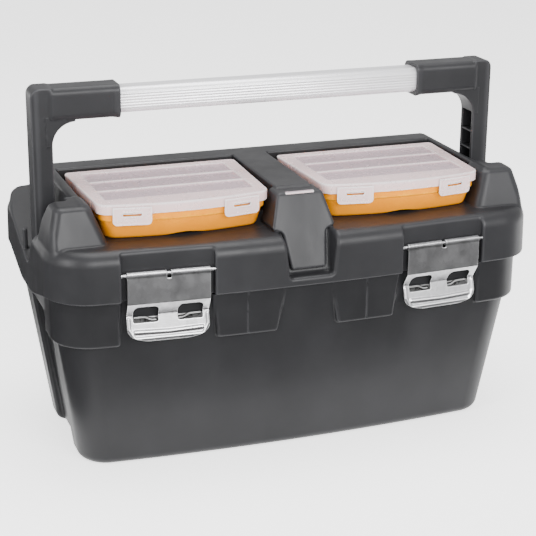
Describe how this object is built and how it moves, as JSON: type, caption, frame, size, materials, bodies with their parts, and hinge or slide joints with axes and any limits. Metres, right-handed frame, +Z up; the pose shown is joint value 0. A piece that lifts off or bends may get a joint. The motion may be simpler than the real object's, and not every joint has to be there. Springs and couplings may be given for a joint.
{
  "type": "toolbox with tray",
  "caption": "Moulded plastic toolbox with steel drop latches, a folding tube handle, parts organisers set in its lid and a lift-out tray inside.",
  "frame": {"origin": "on the ground, under the middle of the box's width and depth", "axes": "+X to the right along the box's length, -Y to the front with the latches, +Z up"},
  "size_m": [0.48, 0.2437, 0.3475],
  "materials": {
    "black_plastic": "satin moulded polypropylene",
    "zinc_steel": "galvanised sheet and wire",
    "aluminium_tube": "satin anodised, finely fluted",
    "amber_plastic": "glossy amber polypropylene",
    "clear_plastic": "clear with a faint pink tint"
  },
  "bodies": {
    "base": {"base": "black_plastic", "catch_left": "zinc_steel", "catch_right": "zinc_steel", "hinge_pin_left": "zinc_steel", "hinge_pin_right": "zinc_steel"},
    "lid": {"lid": "black_plastic", "pivot_pin_left": "zinc_steel", "pivot_pin_right": "zinc_steel", "latch_wire_left": "zinc_steel", "latch_wire_right": "zinc_steel", "retainer_strip": "clear_plastic"},
    "latch_left": {"latch_left": "zinc_steel"},
    "latch_right": {"latch_right": "zinc_steel"},
    "handle": {"handle_arm_left": "black_plastic", "handle_arm_right": "black_plastic", "handle_tube": "aluminium_tube"},
    "organiser_left": {"organiser_bin_left": "amber_plastic", "organiser_dividers_left": "amber_plastic"},
    "organiser_lid_left": {"organiser_lid_left": "clear_plastic"},
    "clip_left_outer": {"clip_left_outer": "clear_plastic"},
    "clip_left_inner": {"clip_left_inner": "clear_plastic"},
    "organiser_right": {"organiser_bin_right": "amber_plastic", "organiser_dividers_right": "amber_plastic"},
    "organiser_lid_right": {"organiser_lid_right": "clear_plastic"},
    "clip_right_outer": {"clip_right_outer": "clear_plastic"},
    "clip_right_inner": {"clip_right_inner": "clear_plastic"},
    "tray": {"tray": "black_plastic", "tray_dividers": "black_plastic", "tray_grip": "black_plastic"}
  },
  "joints": [
    {"name": "lid_hinge", "type": "hinge", "parent": "base", "child": "lid", "pos_m": [0, 0.1155, 0.176], "axis": [-1, 0, 0], "range_deg": [0, 100]},
    {"name": "latch_left_hinge", "type": "hinge", "parent": "lid", "child": "latch_left", "pos_m": [-0.13478, -0.11434, 0.1975], "axis": [-0.998, 0.0632, 0], "range_deg": [0, 110]},
    {"name": "latch_right_hinge", "type": "hinge", "parent": "lid", "child": "latch_right", "pos_m": [0.13478, -0.11434, 0.1975], "axis": [-0.998, -0.0632, 0], "range_deg": [0, 110]},
    {"name": "handle_fold", "type": "hinge", "parent": "lid", "child": "handle", "pos_m": [0, 0, 0.2], "axis": [-1, 0, 0], "range_deg": [0, 68]},
    {"name": "organiser_left_lift", "type": "slide", "parent": "lid", "child": "organiser_left", "axis": [0, 0, 1], "range_m": [0, 0.04]},
    {"name": "organiser_left_lid_hinge", "type": "hinge", "parent": "organiser_left", "child": "organiser_lid_left", "pos_m": [-0.1075, 0.042, 0.248], "axis": [-1, 0, 0], "range_deg": [0, 45]},
    {"name": "clip_left_outer_hinge", "type": "hinge", "parent": "organiser_lid_left", "child": "clip_left_outer", "pos_m": [-0.15899, -0.08512, 0.2515], "axis": [-0.9874, 0.1583, 0], "range_deg": [0, 90]},
    {"name": "clip_left_inner_hinge", "type": "hinge", "parent": "organiser_lid_left", "child": "clip_left_inner", "pos_m": [-0.05601, -0.08512, 0.2515], "axis": [-0.9874, -0.1583, 0], "range_deg": [0, 90]},
    {"name": "organiser_right_lift", "type": "slide", "parent": "lid", "child": "organiser_right", "axis": [0, 0, 1], "range_m": [0, 0.04]},
    {"name": "organiser_right_lid_hinge", "type": "hinge", "parent": "organiser_right", "child": "organiser_lid_right", "pos_m": [0.1075, 0.042, 0.248], "axis": [-1, 0, 0], "range_deg": [0, 45]},
    {"name": "clip_right_outer_hinge", "type": "hinge", "parent": "organiser_lid_right", "child": "clip_right_outer", "pos_m": [0.15899, -0.08512, 0.2515], "axis": [-0.9874, -0.1583, 0], "range_deg": [0, 90]},
    {"name": "clip_right_inner_hinge", "type": "hinge", "parent": "organiser_lid_right", "child": "clip_right_inner", "pos_m": [0.05601, -0.08512, 0.2515], "axis": [-0.9874, 0.1583, 0], "range_deg": [0, 90]},
    {"name": "tray_lift", "type": "slide", "parent": "base", "child": "tray", "axis": [0, 0, 1], "range_m": [0, 0.02]}
  ]
}
